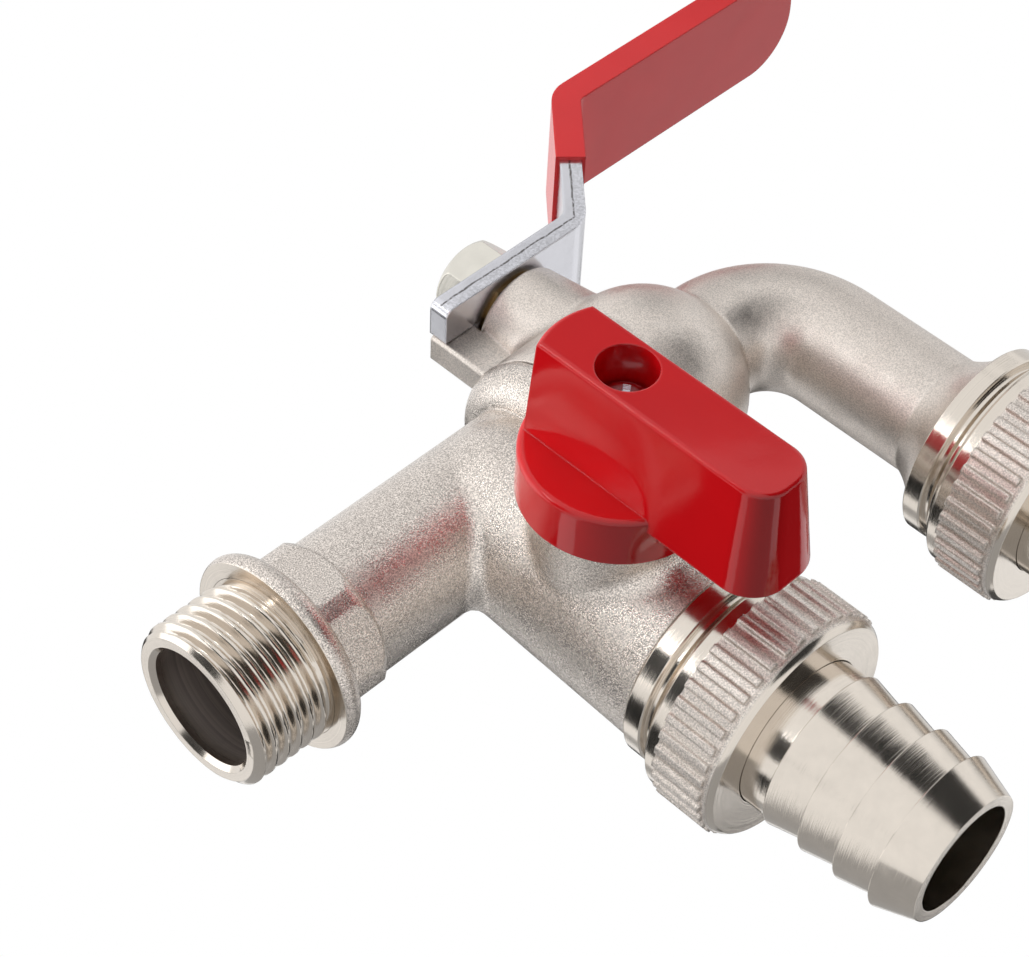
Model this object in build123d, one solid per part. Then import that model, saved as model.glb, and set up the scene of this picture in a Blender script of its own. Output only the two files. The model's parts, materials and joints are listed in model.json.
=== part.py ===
from build123d import *
import math
import os

# Garden tap with two outlets, stored as it hangs on the wall. Row frame: origin at the centre of the inlet
# collar's seat face, +X along the inlet axis away from the wall, +Z up, knob stem along -Y. Sizes are in
# millimetres. Drops are measured down from the inlet axis.

# clearances
run_gap = 0.05
ball_gap = 0.02
cavity_gap = 0.5
tang_gap = 0.1
lug_gap = 0.15
hub_gap = 0.3

# inlet: thread, collar, wrench section and pipe
inlet_thread_r = 10.4775
inlet_thread_len = 11.2
inlet_lead = 0.9
thread_runout = 0.8
inlet_bore_r = 7.75
inlet_bore_depth = 17.0
bore_lead = 0.6
collar_r = 12.8
collar_len = 2.9
collar_crown = 0.35
wrench_af = 19.4
wrench_corner_r = 10.5
wrench_edge_r = 4.0
wrench_end_x = 9.2
wrench_fade = 2.2
pipe_r = 9.07
way_r = 6.6

# tee casting and the joint to the valve casting
branch_x = 35.4
branch_top_r = 11.2
branch_wall = 1.8
dome_drop = 3.0
casting_end = 33.5
limb_fillet = 2.0
boss_fillet = 3.0
seam_from_branch = 11.0
seam_wall = 2.5
seam_edge = 0.3
seam_gap = 0.35
shoulder_len = 5.2
shoulder_foot = 0.4
union_r = 10.5
union_len = 4.6
union_relief = 0.5
seal_inset = 0.75

# main valve in the valve casting
main_ball_r = 8.8
ball_bore_share = 0.6364
main_seat_back = 0.6
body_swell = 0.4
front_wall = 5.6
neck_top_r = 7.1
neck_edge = 0.75
neck_foot_z = 9.0
neck_foot_r = 8.3
neck_fillet = 2.5
stem_r = 4.2
stem_collar_r = 5.15
stem_collar_t = 1.1
stem_thread_r = 3.97
stem_thread_len = 5.2
stem_flats = 5.6
stem_hole_step = 0.2
tang_t = 2.8
tang_dip = 2.1
washer_t = 0.55
seat_edge = 0.3
tang_inset = 0.7
packing_above = 2.0
packing_len = 3.4
gland_r = 5.6
gland_len = 4.1
gland_hex_af = 9.6
gland_hex_t = 0.45
lug_reach = 12.5
lug_half = 2.1
lug_foot_z = 8.0
lug_rise = 2.4
lug_edge_r = 0.6

# spout and outlet threads
spout_lead = 4.3
spout_bend_r = 11.5
spout_r = 8.2
spout_bore_r = 6.2
spout_fillet = 1.3
flare_len = 5.0
flange_r = 13.05
flange_len = 2.6
flange_edge = 0.2
outlet_thread_r = 13.2205
outlet_len = 9.5
outlet_root = 1.0
outlet_root_len = 0.7
outlet_bore_r = 7.0
outlet_bore_len = 8.0
nipple_seal_t = 0.3
throat_step = 0.4
throat_len = 3.0
throat_cone = 2.0

# lever strip, its dipped coat and its nut
strip_t = 2.9
strip_w = 15.2
plate_lift = 0.6
plate_back = 12.2
plate_clear_r = 6.7
plate_corner_r = 1.2
ear_len = 3.8
ear_out = 2.6
bend_from_main = 13.0
rise_deg = 47.0
rise_len = 24.0
lever_reach = 73.6
bend_in_r = 2.0
tip_flat = 0.4
grip_skin = 0.55
grip_from = 11.8
lever_nut_af = 10.8
lever_nut_h = 6.6
lever_nut_turn = 45.0

# branch valve
knob_drop = 19.0
branch_ball_r = 8.0
branch_ball_bore_r = 5.0
branch_seat_back = 0.4
branch_seat_t = 3.8
boss_r = 9.4
boss_y = 16.7
boss_edge = 0.6
branch_stem_r = 4.0
branch_collar_r = 5.0
branch_collar_t = 1.0
square_w = 5.4
square_len = 7.9
square_corner_r = 3.6
oring_mid_r = 3.2
oring_half = 0.82
oring_first = 1.9
oring_step = 2.4
groove_half = 0.95
stem_in_knob = 1.0

# knob: round hub with a tapering bar across it
hub_r = 11.5
hub_h = 6.9
bar_h = 12.3
bar_top_half = 4.4
bar_foot_half = 5.9
bar_near = 10.35
bar_far = 23.6
bar_corner = 3.7
bar_drop = 1.6
knob_edge = 0.55
hub_edge = 0.7
hub_foot_edge = 0.2
recess_in_r = 7.6
recess_wall = 1.9
counterbore_r = 3.6
counterbore_depth = 7.0
screw_r = 1.95
screw_head_r = 3.25
screw_head_h = 2.6
screw_len = 8.7
screw_tip = 0.4
cross_turn = 35.0

# coupling nut, washer and hose tail
nut_core_r = 14.55
nut_rib_r = 15.05
nut_rib_count = 40
nut_rib_len = 6.9
nut_front_len = 1.8
nut_end_len = 1.5
nut_face_r = 14.0
nut_floor = 1.6
nut_hole_r = 9.75
nut_lead = 0.4
nut_band = 0.15
nut_shoulder = 0.35
hose_washer_t = 2.0
hose_washer_inset = 0.3
hose_washer_in_r = 8.6
tail_flange_r = 12.8
tail_flange_t = 1.9
tail_neck_r = 9.65
tail_neck_len = 3.8
tail_bore_r = 7.0
barb_r = 10.1
barb_foot_r = 9.0
barb_pitch = 5.0
barb_count = 4
barb_end = 0.6

# places that follow from the sizes above
branch_end_r = union_r + branch_wall
seam_r = union_r + seam_wall
seam_x = branch_x + seam_from_branch
valve_start_x = seam_x + seam_gap
union_end_x = seam_x + union_len
main_ball_bore_r = ball_bore_share * main_ball_r
main_seat_far = main_ball_r + main_seat_back
main_seat_t = main_seat_far - stem_collar_r - run_gap
main_x = union_end_x + main_seat_far
main_cavity_r = main_ball_r + cavity_gap
body_r = seam_r + body_swell
body_x = main_x + main_seat_far + front_wall - body_r
stem_shelf_z = main_cavity_r + run_gap + stem_collar_t + washer_t
packing_z = stem_shelf_z + packing_above
gland_z = packing_z + packing_len
neck_top_z = gland_z + gland_len
plate_z = neck_top_z + plate_lift
plate_top_z = plate_z + strip_t
lug_top_z = plate_z + lug_rise
lug_inner = plate_clear_r + cavity_gap
spout_start_x = main_x + main_seat_far + spout_lead
spout_x = spout_start_x + spout_bend_r
branch_seat_far = branch_ball_r + branch_seat_back
branch_cavity_r = branch_ball_r + cavity_gap
cavity_end = knob_drop + branch_seat_far
branch_shelf_y = branch_cavity_r + run_gap + branch_collar_t + washer_t
oring_y = [branch_shelf_y + oring_first, branch_shelf_y + oring_first + oring_step]
hub_y = boss_y + hub_gap
ledge_y = hub_y + hub_h
knob_top_y = ledge_y + bar_h
counterbore_floor_y = knob_top_y - counterbore_depth
stem_end_y = hub_y + stem_in_knob
square_end_y = stem_end_y + square_len
nipple_top = casting_end + nipple_seal_t
outlet_end = casting_end + outlet_len
tail_top = outlet_end + hose_washer_t
nut_end = tail_top + tail_flange_t + nut_floor
rib_end = nut_end - nut_end_len
rib_start = rib_end - nut_rib_len
nut_front = rib_start - nut_front_len
barb_top = nut_end + tail_neck_len
bend_x = main_x + bend_from_main
lever_end_x = main_x + lever_reach
rise = math.radians(rise_deg)
rise_top_x = bend_x + rise_len * math.cos(rise)
rise_top_z = plate_z + rise_len * math.sin(rise)

INLET = Plane((0, 0, 0), x_dir=(0, 1, 0), z_dir=(1, 0, 0))
BRANCH = Plane((branch_x, 0, 0), x_dir=(1, 0, 0), z_dir=(0, 0, -1))
MAIN = Plane((main_x, 0, 0), x_dir=(1, 0, 0), z_dir=(0, 0, 1))
SPOUT = Plane((spout_x, 0, 0), x_dir=(1, 0, 0), z_dir=(0, 0, -1))
KNOB = Plane((branch_x, 0, -knob_drop), x_dir=(0, 0, 1), z_dir=(0, -1, 0))
MAIN_REAR = Plane((main_x, 0, 0), x_dir=(0, 1, 0), z_dir=(-1, 0, 0))
MAIN_FRONT = Plane((main_x, 0, 0), x_dir=(0, 1, 0), z_dir=(1, 0, 0))
BALL_UP = Plane((branch_x, 0, -knob_drop), x_dir=(1, 0, 0), z_dir=(0, 0, 1))
BALL_DOWN = Plane((branch_x, 0, -knob_drop), x_dir=(1, 0, 0), z_dir=(0, 0, -1))

# how far solids that are fused run into each other, and how far a cut runs past a face
lap = 0.5
over = 1.0


def turned(plane, *points):
    """Solid turned about the plane's normal from (radius, height) points.

    A pair of points in place of a point is an arc: through the first, to the second.
    """
    edges = []
    here = points[0]
    for item in [*points[1:], points[0]]:
        if isinstance(item[0], tuple):
            edges += ThreePointArc(here, *item).edges()
            here = item[1]
        else:
            edges += Line(here, item).edges()
            here = item
    return plane.location * revolve(Plane.XZ * make_face(Wire(edges)), Axis.Z, 360)


def rod(plane, r, a, b):
    return turned(plane, (0, a), (r, a), (r, b), (0, b))


def ring(plane, r_in, r_out, a, b):
    return turned(plane, (r_in, a), (r_out, a), (r_out, b), (r_in, b))


def hexagon(plane, across_flats, a, b, turn=0):
    prism = extrude(RegularPolygon(across_flats / 2, 6, major_radius=False, rotation=turn), b - a)
    return plane.location * (Pos(0, 0, a) * prism)


def block(plane, size_x, size_y, a, b):
    """Bar of the plane's normal direction, centred on it, from height a to b."""
    align = (Align.CENTER, Align.CENTER, Align.MIN)
    return plane.location * (Pos(0, 0, a) * Box(size_x, size_y, b - a, align=align))


def blended(body, extra, radius):
    """The two solids joined, with a cast fillet of the radius round the joint."""
    both = body + extra
    return fillet(new_edges(body, extra, combined=both), radius)


def inlet_thread_blank():
    r = inlet_thread_r
    mouth = -inlet_thread_len
    return turned(INLET, (0, mouth), (r - inlet_lead, mouth), (r, mouth + inlet_lead), (r, lap), (0, lap))


def collar():
    r = collar_r
    crown = ((r, 0.4 * collar_len), (r - 4 * collar_crown, collar_len))
    return turned(INLET, (0, 0), (r - collar_crown, 0), crown, (0, collar_len))


def wrench_section():
    """Cast hexagon behind the collar, its corners rounded off and fading into the pipe."""
    drop = wrench_corner_r - pipe_r
    fade = ((pipe_r + 0.7 * drop, wrench_end_x - 0.35 * wrench_fade), (pipe_r, wrench_end_x))
    limits = turned(INLET, (0, 0), (wrench_corner_r, 0), (wrench_corner_r, wrench_end_x - wrench_fade), fade,
                    (0, wrench_end_x))
    prism = hexagon(INLET, wrench_af, 0, wrench_end_x, turn=30)
    return fillet(prism.edges().filter_by(Axis.X), wrench_edge_r) & limits


def seam_shoulder():
    """Rounded step up from the pipe to the face that meets the valve casting."""
    start = seam_x - shoulder_len
    soft = 0.25 * shoulder_len
    bulge = ((seam_r - 0.85 * soft, start + soft), (seam_r, seam_x - over))
    return turned(INLET, (0, start), (pipe_r + shoulder_foot, start), bulge, (seam_r - seam_edge, seam_x),
                  (0, seam_x))


def union_thread():
    core = union_r - union_relief
    return turned(INLET, (0, seam_x - over), (core, seam_x - over), (core, seam_x + union_relief),
                  (union_r, seam_x + 2 * union_relief), (union_r, union_end_x - union_relief),
                  (core, union_end_x), (0, union_end_x))


def inlet_tee():
    """Cast and turned body: inlet pipe, branch limb with the knob's boss, and the thread at the seam."""
    pipe = rod(INLET, pipe_r, -over, seam_x)
    limb = turned(BRANCH, (0, dome_drop), (branch_top_r, dome_drop), (branch_end_r, casting_end),
                  (0, casting_end))
    limb += Pos(branch_x, 0, -dome_drop) * Sphere(branch_top_r)
    body = blended(pipe, limb, limb_fillet)
    boss = rod(KNOB, boss_r, branch_ball_bore_r, boss_y)
    body = blended(body, chamfer(boss.edges().group_by(Axis.Y)[0], boss_edge), boss_fillet)
    body += wrench_section()
    body += collar()
    body += seam_shoulder()
    body -= ring(INLET, union_r - 3 * union_relief, seam_r + over, seam_x, union_end_x)
    body += inlet_thread_blank()
    body += union_thread()
    # waterways
    bore_mouth = -inlet_thread_len
    body -= turned(INLET, (0, bore_mouth - over), (inlet_bore_r + bore_lead + over, bore_mouth - over),
                   (inlet_bore_r, bore_mouth + bore_lead), (inlet_bore_r, inlet_bore_depth),
                   (way_r, inlet_bore_depth + inlet_bore_r - way_r), (way_r, union_end_x + over),
                   (0, union_end_x + over))
    body -= rod(BRANCH, branch_ball_bore_r, 0, knob_drop)
    body -= rod(BRANCH, branch_cavity_r, knob_drop - branch_seat_far, cavity_end)
    body -= rod(BRANCH, union_r + run_gap, cavity_end, casting_end + over)
    # stem hole, with its shoulder recess on the inside
    body -= rod(KNOB, branch_stem_r + run_gap, 0, boss_y + over)
    body -= rod(KNOB, branch_collar_r + 3 * run_gap, 0, branch_shelf_y)
    return body


def spout_path(start_x, drop):
    """Line from start_x to the bend, the bend, and the leg down to the drop, in the XZ plane."""
    bend = RadiusArc((spout_start_x, 0), (spout_x, -spout_bend_r), spout_bend_r)
    leg = Line((spout_x, -spout_bend_r), (spout_x, -drop))
    lead = Line((start_x, 0), (spout_start_x, 0)).edges() if start_x < spout_start_x else []
    return Plane.XZ * Wire([*lead, *bend.edges(), *leg.edges()])


def tube_along(r, start_x, drop):
    start = Plane((start_x, 0, 0), x_dir=(0, 1, 0), z_dir=(1, 0, 0))
    return sweep(start * Circle(r), path=spout_path(start_x, drop))


def stop_lug():
    """Upright on the neck's wall side that stops the lever at each end of its quarter turn."""
    align = (Align.MIN, Align.CENTER, Align.MIN)
    foot = Box(lug_reach - stem_r, 2 * lug_half, lug_top_z - lug_foot_z, align=align)
    foot = foot.locate(Location((main_x - lug_reach, 0, lug_foot_z)))
    room = Box(2 * lug_reach, 4 * lug_half, lug_top_z, align=align)
    foot -= room.locate(Location((main_x - lug_inner, 0, neck_top_z - over)))
    foot = fillet(foot.edges().filter_by(Axis.Z).group_by(Axis.X)[0], lug_edge_r)
    return foot - rod(MAIN, neck_top_r - lap, lug_foot_z, lug_top_z + over)


def outlet_thread(plane, top):
    """Turned ring, relief and threaded end for a coupling nut, from the drop top to the outlet face."""
    r = outlet_thread_r
    edge = flange_edge
    ring_end = top + flange_len
    root_end = ring_end + outlet_root_len
    return turned(plane, (0, top), (flange_r - edge, top), (flange_r, top + edge),
                  (flange_r, ring_end - edge), (flange_r - edge, ring_end), (r - outlet_root, ring_end), (r - outlet_root, root_end),
                  (r, root_end + thread_runout), (r, outlet_end - inlet_lead),
                  (r - inlet_lead, outlet_end), (0, outlet_end))


def valve_body():
    """Cast body of the main valve, with the neck, the stop lug and the bent spout."""
    shell = turned(INLET, (0, valve_start_x), (seam_r - seam_edge, valve_start_x),
                   (seam_r, valve_start_x + 3 * seam_edge), (seam_r, body_x), (0, body_x))
    shell += Pos(body_x, 0, 0) * Sphere(body_r)
    lip = ((neck_top_r - 0.3 * neck_edge, neck_top_z - 0.3 * neck_edge), (neck_top_r - neck_edge, neck_top_z))
    neck = turned(MAIN, (0, 0), (neck_foot_r + lap, 0), (neck_foot_r, neck_foot_z),
                  (neck_top_r, neck_top_z - neck_edge), lip, (0, neck_top_z))
    stub_end = body_x + body_r + 3 * run_gap
    shell = blended(shell, rod(INLET, spout_r, body_x, stub_end), spout_fillet)
    body = blended(shell, neck, neck_fillet)
    body += tube_along(spout_r, spout_start_x, casting_end + over)
    body += stop_lug()
    flare_start = casting_end - flare_len
    flare_mid = (0.6 * spout_r + 0.4 * branch_end_r, casting_end - 0.45 * flare_len)
    flare = (flare_mid, (branch_end_r, casting_end))
    body += turned(SPOUT, (0, flare_start), (spout_r, flare_start), flare, (0, casting_end))
    body += outlet_thread(SPOUT, casting_end)
    # opening for the tee's thread, chamber for the ball and its seats, and the waterway
    chamber_x = union_end_x + 2 * run_gap
    chamber_end = main_x + main_seat_far
    body -= turned(INLET, (0, seam_x), (union_r + run_gap, seam_x), (union_r + run_gap, chamber_x),
                   (main_cavity_r, chamber_x), (main_cavity_r, chamber_end), (0, chamber_end))
    body -= tube_along(spout_bore_r, main_x, outlet_end + over)
    body -= rod(SPOUT, outlet_bore_r, outlet_end - outlet_bore_len, outlet_end + over)
    # stem hole, the stem's shoulder recess and the gland's bore
    body -= rod(MAIN, stem_r + run_gap, 0, neck_top_z + over)
    body -= rod(MAIN, stem_collar_r + stem_hole_step, 0, stem_shelf_z)
    body -= rod(MAIN, gland_r + run_gap, packing_z, neck_top_z + over)
    return body


def branch_nipple():
    """Turned nipple screwed into the tee's branch; its top face holds the ball's lower seat."""
    body = outlet_thread(BRANCH, nipple_top)
    body += turned(BRANCH, (0, cavity_end), (union_r - union_relief, cavity_end),
                   (union_r, cavity_end + union_relief), (union_r, nipple_top + lap), (0, nipple_top + lap))
    throat_r = branch_ball_bore_r + throat_step
    throat_end = cavity_end + throat_len
    body -= turned(BRANCH, (0, cavity_end - over), (throat_r, cavity_end - over), (throat_r, throat_end),
                   (outlet_bore_r, throat_end + throat_cone), (outlet_bore_r, outlet_end + over),
                   (0, outlet_end + over))
    return body


def cupped_seat(plane, ball_r, bore_r, far, thick, cavity_r):
    """Soft ring behind the ball, hollowed to the ball and flat at its back."""
    soft = seat_edge
    r_in = bore_r + soft
    r_out = cavity_r - run_gap
    near = far - thick
    blank = turned(plane, (r_in, near + soft), (r_in + soft, near), (r_out - soft, near),
                   (r_out, near + soft), (r_out, far - soft), (r_out - soft, far), (r_in + soft, far),
                   (r_in, far - soft))
    return blank - plane.location * Sphere(ball_r + ball_gap)


def valve_ball(plane, stem_plane, ball_r, bore_r):
    """Bored ball with the stem's slot cut in its top."""
    slot_floor = ball_r - tang_dip - 2 * tang_gap
    body = plane.location * Sphere(ball_r) - rod(plane, bore_r, -2 * ball_r, 2 * ball_r)
    return body - block(stem_plane, 3 * ball_r, tang_t + 2 * tang_gap, slot_floor, 2 * ball_r)


def stem(plane, ball_r, cavity_r, collar_out_r, collar_t, shaft_r, shaft_end):
    """Blow-out proof stem: tang in the ball's slot, collar inside the chamber, and shaft."""
    foot = ball_r - tang_dip
    collar_a = cavity_r + run_gap
    collar_b = collar_a + collar_t
    tang = block(plane, 2 * (collar_out_r - tang_inset), tang_t, foot, collar_a + lap)
    tang &= rod(plane, collar_out_r, foot, collar_b)
    collar_ring = rod(plane, collar_out_r, collar_a, collar_b)
    return tang + collar_ring + rod(plane, shaft_r, collar_b - lap, shaft_end)


def main_stem():
    shaft_end = plate_z - tang_gap
    body = stem(MAIN, main_ball_r, main_cavity_r, stem_collar_r, stem_collar_t, stem_r, shaft_end)
    flats = block(MAIN, 3 * stem_r, stem_flats, 0, 2 * plate_z)
    body += rod(MAIN, stem_thread_r, plate_z - lap, plate_top_z) & flats
    end = plate_top_z + stem_thread_len
    body += turned(MAIN, (0, plate_top_z), (stem_thread_r, plate_top_z), (stem_thread_r, end - thread_runout),
                   (stem_thread_r - thread_runout, end), (0, end))
    return body


def branch_stem():
    body = stem(KNOB, branch_ball_r, branch_cavity_r, branch_collar_r, branch_collar_t, branch_stem_r,
                stem_end_y)
    square = block(KNOB, square_w, square_w, stem_end_y - lap, square_end_y)
    body += square & rod(KNOB, square_corner_r, 0, square_end_y)
    groove_r = oring_mid_r - oring_half - run_gap
    for y in oring_y:
        body -= ring(KNOB, groove_r, 2 * branch_stem_r, y - groove_half, y + groove_half)
    body -= rod(KNOB, screw_r + run_gap, counterbore_floor_y - screw_len - over, square_end_y + over)
    return body


def stem_oring(y):
    return KNOB.location * (Pos(0, 0, y) * Torus(oring_mid_r, oring_half))


def gland_nut():
    body = rod(MAIN, gland_r, gland_z, neck_top_z)
    body += hexagon(MAIN, gland_hex_af, neck_top_z - lap, neck_top_z + gland_hex_t)
    return body - rod(MAIN, stem_r + run_gap, gland_z - over, plate_z)


def bar_outline(half, near, far, corner):
    """Plan of the knob's bar: its near end follows the hub, its far end has round corners."""
    flank = math.sqrt(near * near - half * half)
    bite = corner * (1 - math.cos(math.pi / 4))
    inner = corner - half
    edges = [
        ThreePointArc((flank, -half), (near, 0), (flank, half)),
        Line((flank, half), (corner - far, half)),
        ThreePointArc((corner - far, half), (bite - far, half - bite), (-far, -inner)),
        Line((-far, -inner), (-far, inner)),
        ThreePointArc((-far, inner), (bite - far, bite - half), (corner - far, -half)),
        Line((corner - far, -half), (flank, -half)),
    ]
    return make_face(Wire([edge for piece in edges for edge in piece.edges()]))


def knob_bar():
    """Tapering bar across the hub, from its overhanging lower edge to its flat top."""
    low_y = ledge_y - bar_drop
    grow = (bar_foot_half - bar_top_half) / bar_h * (knob_top_y - low_y)
    low = bar_outline(bar_top_half + grow, bar_near + 0.4 * grow, bar_far + grow, bar_corner + 0.6 * grow)
    high = bar_outline(bar_top_half, bar_near, bar_far, bar_corner)
    bar = loft([KNOB.location * (Pos(0, 0, low_y) * low), KNOB.location * (Pos(0, 0, knob_top_y) * high)])
    return fillet(bar.faces().sort_by(Axis.Y)[0].edges(), knob_edge)


def knob():
    soft = hub_edge
    foot = hub_foot_edge
    rim = ((hub_r - 0.3 * soft, ledge_y - 0.3 * soft), (hub_r - soft, ledge_y))
    hub = turned(KNOB, (0, hub_y), (hub_r - foot, hub_y), (hub_r, hub_y + foot), (hub_r, ledge_y - soft), rim,
                 (0, ledge_y))
    body = knob_bar() + hub
    body -= rod(KNOB, counterbore_r, counterbore_floor_y, knob_top_y + over)
    body -= rod(KNOB, screw_r + 5 * run_gap, square_end_y - over, knob_top_y)
    socket = square_w + 2 * run_gap
    body -= block(KNOB, socket, socket, hub_y - over, square_end_y + 2 * tang_gap)
    body -= rod(KNOB, branch_stem_r + 3 * run_gap, hub_y - over, stem_end_y + 2 * tang_gap)
    # moulded recess round the socket's wall
    return body - ring(KNOB, recess_in_r, hub_r - recess_wall, hub_y - over, hub_y + 0.5 * hub_h)


def knob_screw():
    """Pan head screw with a cross recess."""
    seat = counterbore_floor_y
    top = seat + screw_head_h
    r = screw_head_r
    tip = seat - screw_len
    pan = ((0.8 * r, seat + 0.88 * screw_head_h), (0.4 * r, top))
    body = turned(KNOB, (0, tip), (screw_r - screw_tip, tip), (screw_r, tip + screw_tip), (screw_r, seat),
                  (r, seat), (r, seat + 0.6 * screw_head_h), pan, (0, top))
    for turn in (0, 90):
        arm = Box(1.1 * r, 0.28 * r, 0.6 * screw_head_h)
        body -= KNOB.location * (Pos(0, 0, top) * Rot(0, 0, cross_turn + turn) * arm)
    return body


def strip_line(end, shift):
    """Line of the bent strip, moved out by shift, as points in X and Z."""
    k = math.tan(rise / 2)
    return [(main_x - plate_back, plate_z + shift), (bend_x - shift * k, plate_z + shift),
            (rise_top_x - shift * k, rise_top_z + shift), (end, rise_top_z + shift)]


def strip_solid(skin):
    """The bent strip with its rounded tip, grown by skin on every side but the plate's end."""
    thick = strip_t + 2 * skin
    half = strip_w / 2 + skin
    in_r = bend_in_r - skin
    low = strip_line(lever_end_x + skin, -skin)
    high = strip_line(lever_end_x + skin, strip_t + skin)
    body = extrude(Plane.XZ * make_face(Polyline(*low, *reversed(high), close=True)), half, both=True)
    for point, r in ((low[1], in_r + thick), (high[1], in_r), (high[2], in_r + thick), (low[2], in_r)):
        edge = body.edges().filter_by(Axis.Y).sort_by_distance(Vector(point[0], 0, point[1]))[0]
        body = fillet([edge], r)
    return fillet(body.edges().filter_by(Axis.Z).group_by(Axis.X)[-1], half - tip_flat)


def lever():
    """Sheared and bent strip; its plate is notched round the stop lug and has an ear for the far stop."""
    half = strip_w / 2
    stop = lug_half + lug_gap
    body = strip_solid(0)
    corner = (Align.MIN, Align.MIN, Align.MIN)
    ear = Box(ear_len, ear_out + lap, strip_t, align=corner)
    body += ear.locate(Location((main_x + stop, half - lap, plate_z)))
    notch = Box(2 * lug_reach, 4 * half, strip_t + 2 * over, align=(Align.MAX, Align.MIN, Align.MIN))
    notch = notch.locate(Location((main_x + stop, -stop, plate_z - over)))
    body -= notch - rod(MAIN, plate_clear_r, plate_z - 2 * over, plate_top_z + 2 * over)
    outer = body.edges().filter_by(Axis.Z).group_by(Axis.X)[0].sort_by(Axis.Y)[0]
    body = fillet([outer], plate_corner_r)
    hole = rod(MAIN, stem_thread_r + run_gap, plate_z - over, plate_top_z + over)
    return body - (hole & block(MAIN, 3 * stem_r, stem_flats + 2 * run_gap, 0, 2 * plate_z))


def lever_grip():
    """Dipped coat on the lever, cut off square part way up the rise."""
    x_dir = (0, 1, 0)
    along = (math.cos(rise), 0, math.sin(rise))
    cut = Plane((bend_x + grip_from * along[0], 0, plate_z + grip_from * along[2]), x_dir=x_dir, z_dir=along)
    side = 2 * lever_reach
    bare = cut.location * Box(side, side, side, align=(Align.CENTER, Align.CENTER, Align.MAX))
    return strip_solid(grip_skin) - bare - strip_solid(0)


def lever_nut():
    """Hexagon nut with a domed end, holding the lever on the stem's flats."""
    z = plate_top_z
    top = z + lever_nut_h
    flat_r = lever_nut_af / 2
    corner_r = 2 * flat_r / math.sqrt(3)
    crown = ((0.97 * flat_r, top - 0.1 * lever_nut_h), (0.7 * flat_r, top))
    dome = turned(MAIN, (0, z), (corner_r, z), (corner_r, top - 0.32 * lever_nut_h), crown, (0, top))
    prism = hexagon(MAIN, lever_nut_af, z, top, turn=lever_nut_turn)
    return (prism & dome) - rod(MAIN, stem_thread_r + run_gap, z - over, top + over)


def coupling_nut(plane):
    """Coupling nut with straight ribs between a smooth front band and a rounded end."""
    core = nut_core_r
    band = core + nut_band
    band_start = rib_end + nut_shoulder
    round_end = ((0.3 * nut_face_r + 0.7 * band, nut_end - 0.4 * nut_end_len), (nut_face_r, nut_end))
    body = turned(plane, (0, nut_front), (core - nut_lead, nut_front), (core, nut_front + nut_lead),
                  (core, band_start), (band, band_start), round_end, (0, nut_end))
    pitch = 2 * math.pi * nut_rib_r / nut_rib_count
    foot_half = 0.34 * pitch
    top_half = 0.2 * pitch
    outline = Polyline((core - lap, -foot_half), (nut_rib_r, -top_half), (nut_rib_r, top_half),
                       (core - lap, foot_half), close=True)
    rib = extrude(make_face(outline), nut_rib_len)
    body += [plane.location * (Pos(0, 0, rib_start) * Rot(0, 0, 360 * i / nut_rib_count) * rib)
             for i in range(nut_rib_count)]
    body -= rod(plane, outlet_thread_r + run_gap, nut_front - over, nut_end - nut_floor)
    return body - rod(plane, nut_hole_r, nut_end - 2 * nut_floor, nut_end + over)


def hose_washer(plane):
    return ring(plane, hose_washer_in_r, outlet_thread_r - hose_washer_inset, outlet_end, tail_top)


def hose_tail(plane):
    """Flanged hose tail: flange held by the nut, neck through its hole, and saw-tooth barbs."""
    neck_r = min(tail_neck_r, nut_hole_r - 2 * run_gap)
    flange_end = tail_top + tail_flange_t
    points = [(tail_bore_r, tail_top), (tail_flange_r, tail_top), (tail_flange_r, flange_end),
              (neck_r, flange_end), (neck_r, barb_top)]
    for i in range(barb_count):
        points += [(barb_r, barb_top + i * barb_pitch), (barb_foot_r, barb_top + (i + 1) * barb_pitch)]
    points[-1] = (barb_foot_r - barb_end, barb_top + barb_count * barb_pitch)
    points.append((tail_bore_r, barb_top + barb_count * barb_pitch))
    return turned(plane, *points)


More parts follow.
